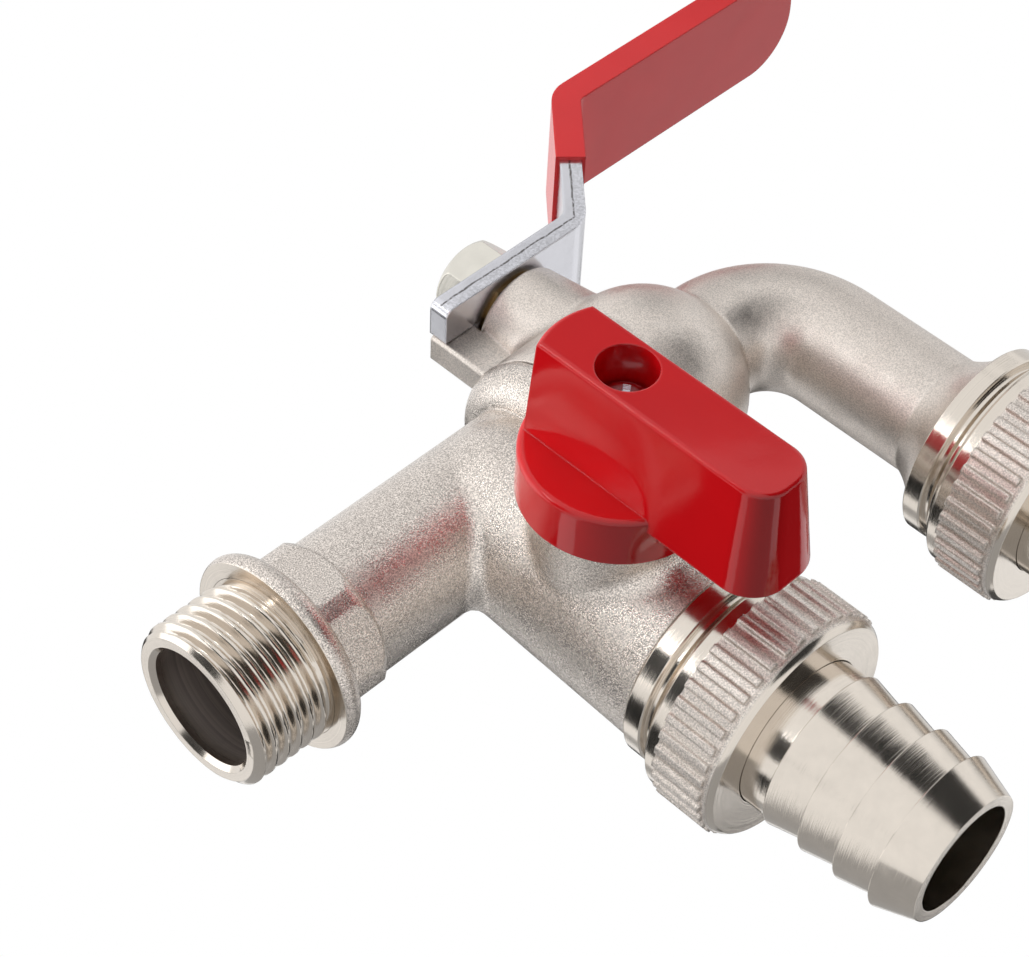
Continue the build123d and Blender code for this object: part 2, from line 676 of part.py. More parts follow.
parts = {
    "inlet_tee": inlet_tee(),
    "valve_body": valve_body(),
    "body_joint_seal": ring(INLET, union_r + run_gap, seam_r - seal_inset, seam_x, valve_start_x),
    "main_ball": valve_ball(MAIN_FRONT, MAIN, main_ball_r, main_ball_bore_r),
    "main_seat_rear": cupped_seat(MAIN_REAR, main_ball_r, main_ball_bore_r, main_seat_far, main_seat_t,
                                  main_cavity_r),
    "main_seat_front": cupped_seat(MAIN_FRONT, main_ball_r, main_ball_bore_r, main_seat_far, main_seat_t,
                                   main_cavity_r),
    "main_stem": main_stem(),
    "main_thrust_washer": ring(MAIN, stem_r + run_gap, stem_collar_r, stem_shelf_z - washer_t, stem_shelf_z),
    "main_packing": ring(MAIN, stem_r + run_gap, gland_r, packing_z, gland_z),
    "main_gland_nut": gland_nut(),
    "lever": lever(),
    "lever_grip": lever_grip(),
    "lever_nut": lever_nut(),
    "branch_ball": valve_ball(BALL_UP, KNOB, branch_ball_r, branch_ball_bore_r),
    "branch_seat_upper": cupped_seat(BALL_UP, branch_ball_r, branch_ball_bore_r, branch_seat_far,
                                     branch_seat_t, branch_cavity_r),
    "branch_seat_lower": cupped_seat(BALL_DOWN, branch_ball_r, branch_ball_bore_r, branch_seat_far,
                                     branch_seat_t, branch_cavity_r),
    "branch_stem": branch_stem(),
    "branch_thrust_washer": ring(KNOB, branch_stem_r + run_gap, branch_collar_r, branch_shelf_y - washer_t,
                                 branch_shelf_y),
    "branch_oring_inner": stem_oring(oring_y[0]),
    "branch_oring_outer": stem_oring(oring_y[1]),
    "knob": knob(),
    "knob_screw": knob_screw(),
    "branch_nipple": branch_nipple(),
    "nipple_seal": ring(BRANCH, union_r + run_gap, branch_end_r - seal_inset / 2, casting_end, nipple_top),
}
for side, plane in (("branch", BRANCH), ("spout", SPOUT)):
    parts[f"{side}_nut"] = coupling_nut(plane)
    parts[f"{side}_hose_washer"] = hose_washer(plane)
    parts[f"{side}_hose_tail"] = hose_tail(plane)

os.makedirs("parts", exist_ok=True)
for name, shape in parts.items():
    solids = shape.solids()
    print(name, len(solids), round(shape.volume, 1), shape.is_valid)
    export_step(shape, f"parts/{name}.step")
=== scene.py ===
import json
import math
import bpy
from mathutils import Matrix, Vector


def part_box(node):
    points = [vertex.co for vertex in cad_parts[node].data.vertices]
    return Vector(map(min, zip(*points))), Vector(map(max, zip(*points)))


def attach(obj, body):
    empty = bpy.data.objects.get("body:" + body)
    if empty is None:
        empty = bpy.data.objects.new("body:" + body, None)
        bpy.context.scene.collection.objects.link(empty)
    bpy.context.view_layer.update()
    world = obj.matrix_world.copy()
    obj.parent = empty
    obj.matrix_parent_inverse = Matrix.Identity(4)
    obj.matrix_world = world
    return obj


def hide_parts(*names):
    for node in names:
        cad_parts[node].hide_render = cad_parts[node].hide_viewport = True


bl_info = {
    "name": "Double outlet garden tap",
    "version": (1, 0, 0),
    "blender": (4, 5, 0),
    "location": "3D View > Sidebar > Garden Tap",
    "description": "Finishes the tap's castings, couplings, lever and knob, and sets its studio",
    "category": "Object",
}

import bpy
from mathutils import Matrix, Vector

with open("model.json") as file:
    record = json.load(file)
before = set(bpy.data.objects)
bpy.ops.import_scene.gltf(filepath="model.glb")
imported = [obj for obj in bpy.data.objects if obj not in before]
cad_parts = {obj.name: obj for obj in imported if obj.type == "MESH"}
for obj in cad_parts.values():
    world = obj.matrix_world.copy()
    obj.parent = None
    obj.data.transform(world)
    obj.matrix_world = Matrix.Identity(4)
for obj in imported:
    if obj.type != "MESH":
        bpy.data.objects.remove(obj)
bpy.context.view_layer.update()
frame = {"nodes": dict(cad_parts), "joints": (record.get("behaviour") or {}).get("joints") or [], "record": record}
NODES = frame["nodes"]
RECORD = frame["record"]
BODY_OF = {node: body for body, nodes in RECORD["behaviour"]["bodies"].items() for node in nodes}
SLOT_OF = {part["node"]: part["material_slot"] for part in RECORD["subparts"]}
JOINTS = {joint["name"]: joint for joint in frame["joints"]}
MOUNTS = {mount["name"]: mount for mount in RECORD["mounts"]}

MM = 0.001

# places read from the frame, in metres
LEVER_X = JOINTS["lever_turn"]["pos_m"][0]
BRANCH_X = JOINTS["branch_nut_turn"]["pos_m"][0]
SPOUT_X = JOINTS["spout_nut_turn"]["pos_m"][0]
KNOB_Z = JOINTS["knob_turn"]["pos_m"][2]
THREAD_R = MOUNTS["inlet_thread"]["dims"]["r_mm"] * MM
BORE_R = MOUNTS["inlet_way"]["dims"]["r_mm"] * MM
INLET_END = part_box("inlet_tee")[0].x
CASTING_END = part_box("nipple_seal")[1].z
NUT_LOW, NUT_HIGH = (corner.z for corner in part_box("branch_nut"))
PLATE_Z, STRIP_TOP_Z = (corner.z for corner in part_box("lever"))
OBJECT_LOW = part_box("branch_hose_tail")[0].z

# colours of the small parts and of the floor
NUT_PLATE = (0.8, 0.77, 0.7)
SHEAR_LINE = (0.16, 0.15, 0.15)
BRASS = (0.72, 0.52, 0.26)
CHROME = (0.8, 0.8, 0.8)
SEAL_WHITE = (0.8, 0.8, 0.77)
RUBBER_BLACK = (0.02, 0.02, 0.02)
FLOOR_GREY = (0.72, 0.72, 0.72, 1)
WHITE = (1, 1, 1, 1)
BLACK = (0, 0, 0, 1)

# how much the coarser blast counts beside the fine one, and how much coarser it is
COARSE_SHARE = 0.15
COARSE_SIZE = 2.2
# spread of the roughness on castings, and on turned faces
CAST_SPREAD = 0.1
TURNED_SPREAD = 0.14
TOOL_LINE_DEPTH = 0.012 * MM

# rounding that the shading gives to edges
CAST_EDGE = 0.5 * MM
CAST_TURNED_EDGE = 0.12 * MM
TURNED_EDGE = 0.15 * MM
RED_EDGE = 0.3 * MM
STRIP_EDGE = 0.4 * MM
PLAIN_EDGE = 0.1 * MM

# end band and front band of a coupling nut, and the width in which each gives way to the ribs
END_BAND, END_FADE = 0.6 * MM, 0.3 * MM
FRONT_BAND, FRONT_FADE = 1.9 * MM, 0.2 * MM

# share of the strip's thickness that tore when it was sheared, and the dark line between
TORN_SHARE = 0.55
TORN_WANDER = 0.5 * MM
LINE_CORE, LINE_FADE = 0.05 * MM, 0.2 * MM

# steps of the thread's mesh, and the shares of its pitch that are crest and flanks
THREAD_AROUND, THREAD_ALONG = 144, 130
CREST_SHARE, FLANK_SHARE = 0.16, 0.68
RUN_OUT_SLOPE = 1.6
RING_OVERLAP = 0.05 * MM
MERGE_DISTANCE = 0.002 * MM
# how near a vertex lies to the bore's wall, and a face to the collar's, to count as on it
BORE_TOLERANCE, COLLAR_TOLERANCE = 0.02 * MM, 0.01 * MM

# the point that lamps and cards face, the floor, and the camera's sensor in millimetres
OBJECT_CENTRE = Vector((0.045, 0, -0.01))
FLOOR_SIZE = 6
FLOOR_GAP = 0.5 * MM
SENSOR_WIDTH = 36

# name; direction as shares of the camera's right, up and back; distance, width and height in
# metres; radiance
LAMPS = (
    ("lamp_left", (-1.0, 0.1, 0.15), 0.6, 0.5, 0.55, 3.7),
    ("lamp_top", (-0.35, 1.0, 0.15), 0.6, 0.6, 0.4, 2.8),
    ("lamp_high", (-0.5, 0.7, 0.6), 0.7, 0.25, 0.2, 4.0),
    ("lamp_right", (1.0, 0.05, 0.0), 0.6, 0.5, 0.5, 1.9),
)
CARDS = (
    ("card_left", (-0.98, 0.08, 0.02), 0.6, 0.5, 0.45, 1.9),
    ("strip_left", (-0.68, 0.4, 0.6), 0.6, 0.03, 0.25, 9.0),
    ("card_down", (0.0, -1.0, 0.0), 0.4, 0.5, 0.5, 0.4),
    ("card_low_left", (-0.84, -0.5, -0.18), 0.5, 0.3, 0.24, 0.02),
    ("card_far_left", (-0.6, -0.22, -0.77), 0.5, 0.19, 0.19, 0.05),
    ("card_low_back", (-0.15, -0.72, -0.68), 0.5, 0.34, 0.28, 0.4),
    ("card_low_mid", (0.36, -0.55, -0.75), 0.5, 0.25, 0.25, 0.08),
    ("card_behind", (-0.15, -0.16, -0.97), 0.5, 0.6, 0.22, 0.05),
    ("card_low_right", (0.85, -0.48, -0.22), 0.5, 0.3, 0.32, 0.03),
    ("card_right", (0.62, 0.46, 0.64), 0.5, 0.48, 0.48, 0.04),
    ("card_near", (-0.8, -0.03, 0.6), 0.5, 0.26, 0.26, 0.04),
    ("card_back", (0.5, 0.35, -0.95), 0.6, 0.9, 0.6, 0.75),
    ("card_top", (0.15, 0.93, -0.38), 0.7, 0.35, 0.3, 0.36),
    ("card_red", (0.1, 1.0, 0.05), 0.5, 0.1, 0.1, 0.4),
)


class TapMetal(bpy.types.PropertyGroup):
    """Finish of the plated brass and of the zinc plated strip."""

    cast_colour: bpy.props.FloatVectorProperty(
        name="Cast colour", description="Nickel plate on the blasted castings",
        subtype="COLOR", size=3, min=0, max=1, default=(0.74, 0.675, 0.62))
    cast_roughness: bpy.props.FloatProperty(
        name="Cast roughness", description="Mean roughness of the coarsest casting",
        subtype="FACTOR", min=0, max=1, default=0.25)
    grain: bpy.props.FloatProperty(
        name="Grain size", description="Size of one grain of the blasted surface",
        unit="LENGTH", min=0.00005, max=0.002, default=0.00017)
    grain_depth: bpy.props.FloatProperty(
        name="Grain depth", description="Depth of the blasted grain",
        unit="LENGTH", min=0, max=0.001, default=0.00007)
    turned_colour: bpy.props.FloatVectorProperty(
        name="Turned colour", description="Nickel plate on the turned faces",
        subtype="COLOR", size=3, min=0, max=1, default=(0.8, 0.73, 0.65))
    turned_roughness: bpy.props.FloatProperty(
        name="Turned roughness", description="Mean roughness of the turned faces",
        subtype="FACTOR", min=0, max=1, default=0.15)
    line_pitch: bpy.props.FloatProperty(
        name="Tool line pitch", description="Distance between the lathe's tool lines",
        unit="LENGTH", min=0.00002, max=0.001, default=0.00016)
    # painted shade: the bore's darker colour is partly the bored wall's own tone and partly painted shade inside
    # the waterway
    bore_and_shade_colour: bpy.props.FloatVectorProperty(
        name="Bore colour", description="Bored waterway behind the inlet's mouth",
        subtype="COLOR", size=3, min=0, max=1, default=(0.48, 0.42, 0.39))
    bore_roughness: bpy.props.FloatProperty(
        name="Bore roughness", description="Roughness of the bored waterway",
        subtype="FACTOR", min=0, max=1, default=0.5)
    zinc_colour: bpy.props.FloatVectorProperty(
        name="Zinc colour", description="Zinc plate on the lever and the screw",
        subtype="COLOR", size=3, min=0, max=1, default=(0.8, 0.8, 0.85))


class TapRed(bpy.types.PropertyGroup):
    """The two red finishes."""

    knob_colour: bpy.props.FloatVectorProperty(
        name="Knob colour", description="Moulded knob",
        subtype="COLOR", size=3, min=0, max=1, default=(0.72, 0.006, 0.01))
    coat_colour: bpy.props.FloatVectorProperty(
        name="Coat colour", description="Dipped coat on the lever",
        subtype="COLOR", size=3, min=0, max=1, default=(0.76, 0.012, 0.016))


class TapStrip(bpy.types.PropertyGroup):
    """The lever's bent strip, for the marks on its sheared edge."""

    thickness: bpy.props.FloatProperty(
        name="Thickness", description="Thickness of the strip",
        unit="LENGTH", min=0.001, max=0.01, default=0.0029)
    bend: bpy.props.FloatProperty(
        name="Bend", description="Distance of the first bend from the stem",
        unit="LENGTH", min=0, max=0.05, default=0.013)
    rise: bpy.props.FloatProperty(
        name="Rise", description="Slope of the rising part",
        subtype="ANGLE", min=0, max=1.5, default=0.8203)


class TapThread(bpy.types.PropertyGroup):
    """The inlet's pipe thread."""

    pitch: bpy.props.FloatProperty(
        name="Pitch", description="Distance between turns of the thread",
        unit="LENGTH", min=0.0005, max=0.005, default=0.001814)
    depth: bpy.props.FloatProperty(
        name="Depth", description="Depth of the thread",
        unit="LENGTH", min=0, max=0.002, default=0.001)
    relief: bpy.props.FloatProperty(
        name="Relief", description="Length of the plain relief beside the collar",
        unit="LENGTH", min=0, max=0.01, default=0.0004)
    root: bpy.props.FloatProperty(
        name="Relief depth", description="Depth of the relief under the crests",
        unit="LENGTH", min=0, max=0.003, default=0.0008)
    lead: bpy.props.FloatProperty(
        name="Lead", description="Width of the bevel at the end of the thread",
        unit="LENGTH", min=0, max=0.003, default=0.0009)


class TapStudio(bpy.types.PropertyGroup):
    """Camera and fill light."""

    lens: bpy.props.FloatProperty(
        name="Lens", description="Focal length on a 36 mm sensor",
        subtype="DISTANCE_CAMERA", min=10, max=300, default=95.57)
    eye: bpy.props.FloatVectorProperty(
        name="Eye", description="Place of the camera",
        subtype="TRANSLATION", size=3, default=(-0.1260, -0.2432, -0.1507))
    look: bpy.props.FloatVectorProperty(
        name="Look", description="Direction in which the camera looks",
        subtype="DIRECTION", size=3, default=(0.50092, 0.73508, 0.45688))
    up: bpy.props.FloatVectorProperty(
        name="Up", description="Direction that is up in the picture",
        subtype="DIRECTION", size=3, default=(0.50465, -0.67692, 0.53582))
    fill: bpy.props.FloatProperty(
        name="Fill", description="Strength of the world's light on the object",
        min=0, max=2, default=0.14)


# node helpers

# first input, second input and output of a Mix node, by what it mixes
MIX_SOCKETS = {"FLOAT": (2, 3, 0), "VECTOR": (4, 5, 1), "RGBA": (6, 7, 2)}


def node(tree, kind, **values):
    """New node of the kind, with its properties set."""
    made = tree.nodes.new(kind)
    for key, value in values.items():
        setattr(made, key, value)
    return made


def link(tree, source, target):
    tree.links.new(source, target)


def feed(tree, socket, value):
    """Sets an input to a number or a colour, or links another node's output to it."""
    if isinstance(value, bpy.types.NodeSocket):
        link(tree, value, socket)
    elif isinstance(value, (int, float)):
        socket.default_value = value
    else:
        socket.default_value = (*value, 1)


def math_node(tree, operation, *values):
    made = node(tree, "ShaderNodeMath", operation=operation)
    for socket, value in zip(made.inputs, values):
        feed(tree, socket, value)
    return made.outputs[0]


def mix(tree, kind, share, first, second):
    """First where share is 0 and second where it is 1; kind is FLOAT, VECTOR or RGBA."""
    made = node(tree, "ShaderNodeMix", data_type=kind)
    first_input, second_input, result = MIX_SOCKETS[kind]
    for index, value in ((0, share), (first_input, first), (second_input, second)):
        feed(tree, made.inputs[index], value)
    return made.outputs[result]


def step_up(tree, value, start, end):
    """0 below start, 1 above end, and smooth between them."""
    made = node(tree, "ShaderNodeMapRange", interpolation_type="SMOOTHSTEP")
    made.inputs["From Min"].default_value = start
    made.inputs["From Max"].default_value = end
    link(tree, value, made.inputs["Value"])
    return made.outputs[0]


def step_down(tree, value, start, end):
    """1 below start, 0 above end, and smooth between them."""
    return math_node(tree, "SUBTRACT", 1.0, step_up(tree, value, start, end))


def place_on(tree, centre=(0, 0, 0)):
    """Object coordinates, centred on a point in metres."""
    coordinates = node(tree, "ShaderNodeTexCoord")
    mapping = node(tree, "ShaderNodeMapping")
    mapping.inputs["Location"].default_value = [-value for value in centre]
    link(tree, coordinates.outputs["Object"], mapping.inputs["Vector"])
    return mapping.outputs[0]


def parts_of(tree, vector):
    made = node(tree, "ShaderNodeSeparateXYZ")
    link(tree, vector, made.inputs[0])
    return made.outputs


def radius_and_height(tree, vector, axis):
    """Distance from the axis through the mapping's centre, and height along it."""
    parts = dict(zip("XYZ", parts_of(tree, vector)))
    height = parts.pop(axis)
    squares = [math_node(tree, "MULTIPLY", value, value) for value in parts.values()]
    return math_node(tree, "SQRT", math_node(tree, "ADD", *squares)), height


def noise(tree, vector, size, detail=2.0, roughness=0.5):
    made = node(tree, "ShaderNodeTexNoise")
    made.inputs["Scale"].default_value = 1 / size
    made.inputs["Detail"].default_value = detail
    made.inputs["Roughness"].default_value = roughness
    link(tree, vector, made.inputs["Vector"])
    return made.outputs[0]


def tool_lines(tree, radius, height, pitch):
    """Fine random rings round an axis, on its cylinders and on its flat faces."""
    made = node(tree, "ShaderNodeTexNoise", noise_dimensions="1D")
    made.inputs["Scale"].default_value = 1 / pitch
    made.inputs["Detail"].default_value = 3
    made.inputs["Roughness"].default_value = 0.6
    link(tree, math_node(tree, "ADD", radius, height), made.inputs["W"])
    return made.outputs[0]


def bump(tree, height, distance, strength, normal):
    made = node(tree, "ShaderNodeBump")
    made.inputs["Distance"].default_value = distance
    made.inputs["Strength"].default_value = strength
    link(tree, height, made.inputs["Height"])
    link(tree, normal, made.inputs["Normal"])
    return made.outputs[0]


def soft_edges(tree, radius):
    made = node(tree, "ShaderNodeBevel", samples=6)
    made.inputs["Radius"].default_value = radius
    return made.outputs[0]


def scaled(colour, factor):
    """The colour made darker, or paler up to white."""
    return [min(1, value * factor) for value in colour]


def new_finish(name, **values):
    """Material with a Principled shader; values set its sockets by name."""
    material = bpy.data.materials.new(name)
    material.use_nodes = True
    tree = material.node_tree
    tree.nodes.clear()
    shader = node(tree, "ShaderNodeBsdfPrincipled")
    output = node(tree, "ShaderNodeOutputMaterial")
    link(tree, shader.outputs[0], output.inputs["Surface"])
    for key, value in values.items():
        shader.inputs[key.replace("_", " ")].default_value = value
    return material, tree, shader.inputs


# finishes

def cast_surface(tree, vector, metal, contrast):
    """Colour, roughness and normal of a plated casting, at contrast 1 for the coarsest blast."""
    grain = noise(tree, vector, metal.grain, 2, 0.6)
    coarse = noise(tree, vector, COARSE_SIZE * metal.grain, 2, 0.6)
    lumps = noise(tree, vector, 9 * MM, 2, 0.5)
    cloud = noise(tree, vector, 3 * MM, 3, 0.6)
    dark = scaled(metal.cast_colour, 1 - 0.45 * contrast)
    pale = scaled(metal.cast_colour, 1 + 0.32 * contrast)
    specks = math_node(tree, "MULTIPLY", coarse, COARSE_SHARE)
    specks = math_node(tree, "MULTIPLY_ADD", grain, 1 - COARSE_SHARE, specks)
    colour = mix(tree, "RGBA", step_up(tree, specks, 0.36, 0.64), dark, pale)
    mean = metal.cast_roughness + 0.3 * (1 - contrast)
    roughness = mix(tree, "FLOAT", step_up(tree, cloud, 0.35, 0.65),
                    mean - CAST_SPREAD / 2, mean + CAST_SPREAD / 2)
    normal = bump(tree, lumps, 0.5 * MM, 0.4, soft_edges(tree, CAST_EDGE))
    normal = bump(tree, coarse, metal.grain_depth, 0.5 * contrast, normal)
    return colour, roughness, bump(tree, grain, metal.grain_depth, contrast, normal)


def turned_surface(tree, vector, radius, height, pitch, mean_roughness):
    """Fine tool lines, roughness and height field of a turned face."""
    lines = tool_lines(tree, radius, height, pitch)
    broad = tool_lines(tree, radius, height, 9 * pitch)
    smudge = noise(tree, vector, 4 * MM, 3, 0.6)
    roughness = math_node(tree, "MULTIPLY_ADD", smudge, TURNED_SPREAD,
                          mean_roughness - TURNED_SPREAD / 2)
    return lines, roughness, math_node(tree, "MULTIPLY_ADD", broad, 1.5, lines)


def casting_finish(name, metal, axis, centre, contrast, turned_where, bore_and_shade_where=None):
    """Cast metal, turned and bored where the functions of tree, radius and height give 1; the bore's darker colour
    carries painted shade.
    """
    material, tree, sockets = new_finish(name, Metallic=1.0)
    vector = place_on(tree, centre)
    radius, height = radius_and_height(tree, vector, axis)
    colour, roughness, normal = cast_surface(tree, vector, metal, contrast)
    turned = turned_where(tree, radius, height)
    lines, shine, field = turned_surface(tree, vector, radius, height, metal.line_pitch,
                                         metal.turned_roughness)
    bright = mix(tree, "RGBA", lines, scaled(metal.turned_colour, 0.8), metal.turned_colour)
    smooth = bump(tree, field, TOOL_LINE_DEPTH, 0.6, soft_edges(tree, CAST_TURNED_EDGE))
    colour = mix(tree, "RGBA", turned, colour, bright)
    roughness = mix(tree, "FLOAT", turned, roughness, shine)
    if bore_and_shade_where:
        # painted shade: the bore's darker colour fades in from the mouth and stands in for the shade inside the
        # waterway; its tool rings are real
        bored = bore_and_shade_where(tree, radius, height)
        rings = step_up(tree, tool_lines(tree, radius, height, 3 * metal.line_pitch), 0.35, 0.65)
        wall = mix(tree, "RGBA", rings, scaled(metal.bore_and_shade_colour, 0.72), metal.bore_and_shade_colour)
        colour = mix(tree, "RGBA", bored, colour, wall)
        roughness = mix(tree, "FLOAT", bored, roughness, metal.bore_roughness)
    link(tree, colour, sockets["Base Color"])
    link(tree, roughness, sockets["Roughness"])
    link(tree, mix(tree, "VECTOR", turned, normal, smooth), sockets["Normal"])
    return material


def turned_finish(name, metal, colour, axis, centre, duller=0.0):
    """Turned metal of a colour about an axis; duller is added to its roughness."""
    material, tree, sockets = new_finish(name, Metallic=1.0)
    vector = place_on(tree, centre)
    radius, height = radius_and_height(tree, vector, axis)
    _, roughness, field = turned_surface(tree, vector, radius, height, metal.line_pitch,
                                         metal.turned_roughness + duller)
    clouded = mix(tree, "RGBA", noise(tree, vector, 2 * MM), scaled(colour, 0.86), colour)
    link(tree, clouded, sockets["Base Color"])
    link(tree, roughness, sockets["Roughness"])
    normal = bump(tree, field, TOOL_LINE_DEPTH, 0.7, soft_edges(tree, TURNED_EDGE))
    link(tree, normal, sockets["Normal"])
    return material


def nut_finish(name, metal, centre):
    """Blasted ribs between a turned front band and a turned end."""
    def bands(tree, radius, height):
        end = step_down(tree, height, NUT_LOW + END_BAND, NUT_LOW + END_BAND + END_FADE)
        front = step_up(tree, height, NUT_HIGH - FRONT_BAND, NUT_HIGH - FRONT_BAND + FRONT_FADE)
        return math_node(tree, "MAXIMUM", end, front)
    return casting_finish(name, metal, "Z", centre, 0.7, bands)


def gloss_red(name, colour, roughness, ripple):
    """Moulded or dipped red plastic, with a faint waviness of the skin."""
    material, tree, sockets = new_finish(name, Roughness=roughness)
    vector = place_on(tree)
    waves = noise(tree, vector, 6 * MM, 1, 0.4)
    specks = noise(tree, vector, 0.5 * MM, 2, 0.5)
    link(tree, mix(tree, "RGBA", waves, scaled(colour, 0.88), colour), sockets["Base Color"])
    normal = bump(tree, waves, ripple, 0.5, soft_edges(tree, RED_EDGE))
    link(tree, bump(tree, specks, 0.004 * MM, 0.5, normal), sockets["Normal"])
    return material


def height_in_strip(tree, vector, strip):
    """Distance above the bent strip's underside."""
    x, _, z = parts_of(tree, vector)
    plate = math_node(tree, "SUBTRACT", z, PLATE_Z)
    past = math_node(tree, "SUBTRACT", x, LEVER_X + strip.bend)
    climb = math_node(tree, "MULTIPLY", past, -math.sin(strip.rise))
    rising = math_node(tree, "MULTIPLY_ADD", plate, math.cos(strip.rise), climb)
    top = math_node(tree, "SUBTRACT", z, STRIP_TOP_Z - strip.thickness)
    return math_node(tree, "MAXIMUM", math_node(tree, "MINIMUM", plate, rising), top)


def zinc_finish(name, metal, strip):
    """Zinc plated strip, with the bright and the torn band of its sheared edges."""
    material, tree, sockets = new_finish(name, Metallic=1.0)
    vector = place_on(tree)
    cloud = noise(tree, vector, 3 * MM, 3, 0.6)
    torn_grain = noise(tree, vector, 0.35 * MM, 3, 0.65)
    dark = scaled(metal.zinc_colour, 0.86)
    geometry = node(tree, "ShaderNodeNewGeometry")
    sideways = math_node(tree, "ABSOLUTE", parts_of(tree, geometry.outputs["True Normal"])[1])
    sheared = step_up(tree, sideways, 0.8, 0.9)

    wander = math_node(tree, "MULTIPLY_ADD", noise(tree, vector, 2 * MM, 2, 0.6),
                       TORN_WANDER, -TORN_WANDER / 2)
    height = math_node(tree, "ADD", height_in_strip(tree, vector, strip), wander)
    border = TORN_SHARE * strip.thickness
    torn = step_down(tree, height, border - LINE_CORE, border + LINE_CORE)
    torn = math_node(tree, "MULTIPLY", torn, sheared)
    off_line = math_node(tree, "ABSOLUTE", math_node(tree, "SUBTRACT", height, border))
    line = math_node(tree, "MULTIPLY", step_down(tree, off_line, LINE_CORE, LINE_FADE),
                     step_up(tree, torn_grain, 0.35, 0.5))
    line = math_node(tree, "MULTIPLY", line, sheared)

    torn_colour = mix(tree, "RGBA", step_up(tree, torn_grain, 0.38, 0.62),
                      scaled(dark, 0.94), metal.zinc_colour)
    colour = mix(tree, "RGBA", cloud, dark, metal.zinc_colour)
    colour = mix(tree, "RGBA", torn, colour, torn_colour)
    colour = mix(tree, "RGBA", line, colour, SHEAR_LINE)
    link(tree, colour, sockets["Base Color"])
    link(tree, math_node(tree, "MULTIPLY_ADD", cloud, 0.14, 0.16), sockets["Roughness"])
    normal = bump(tree, cloud, 0.05 * MM, 0.5, soft_edges(tree, STRIP_EDGE))
    link(tree, bump(tree, torn_grain, 0.005 * MM, 0.6, normal), sockets["Normal"])
    return material


def plain_finish(name, colour, roughness, grain, depth, **values):
    """Rubber, seal plastic, brass or chrome: a colour with a fine grain."""
    material, tree, sockets = new_finish(name, Roughness=roughness, **values)
    vector = place_on(tree)
    field = noise(tree, vector, grain, 3, 0.6)
    link(tree, mix(tree, "RGBA", field, scaled(colour, 0.82), colour), sockets["Base Color"])
    link(tree, bump(tree, field, depth, 0.6, soft_edges(tree, PLAIN_EDGE)), sockets["Normal"])
    return material


def dress(names, material):
    """Gives CAD nodes the material."""
    for name in names:
        mesh = NODES[name].data
        mesh.materials.clear()
        mesh.materials.append(material)


def only(piece):
    """Selects this object alone and makes it active."""
    bpy.ops.object.select_all(action="DESELECT")
    piece.select_set(True)
    bpy.context.view_layer.objects.active = piece


def copy_of(name, new_name):
    """Copy of a CAD node, as a piece that can be reshaped."""
    piece = NODES[name].copy()
    piece.data = NODES[name].data.copy()
    piece.name = new_name
    piece.parent = None
    for key in list(piece.keys()):
        del piece[key]
    bpy.context.scene.collection.objects.link(piece)
    return piece


# operators

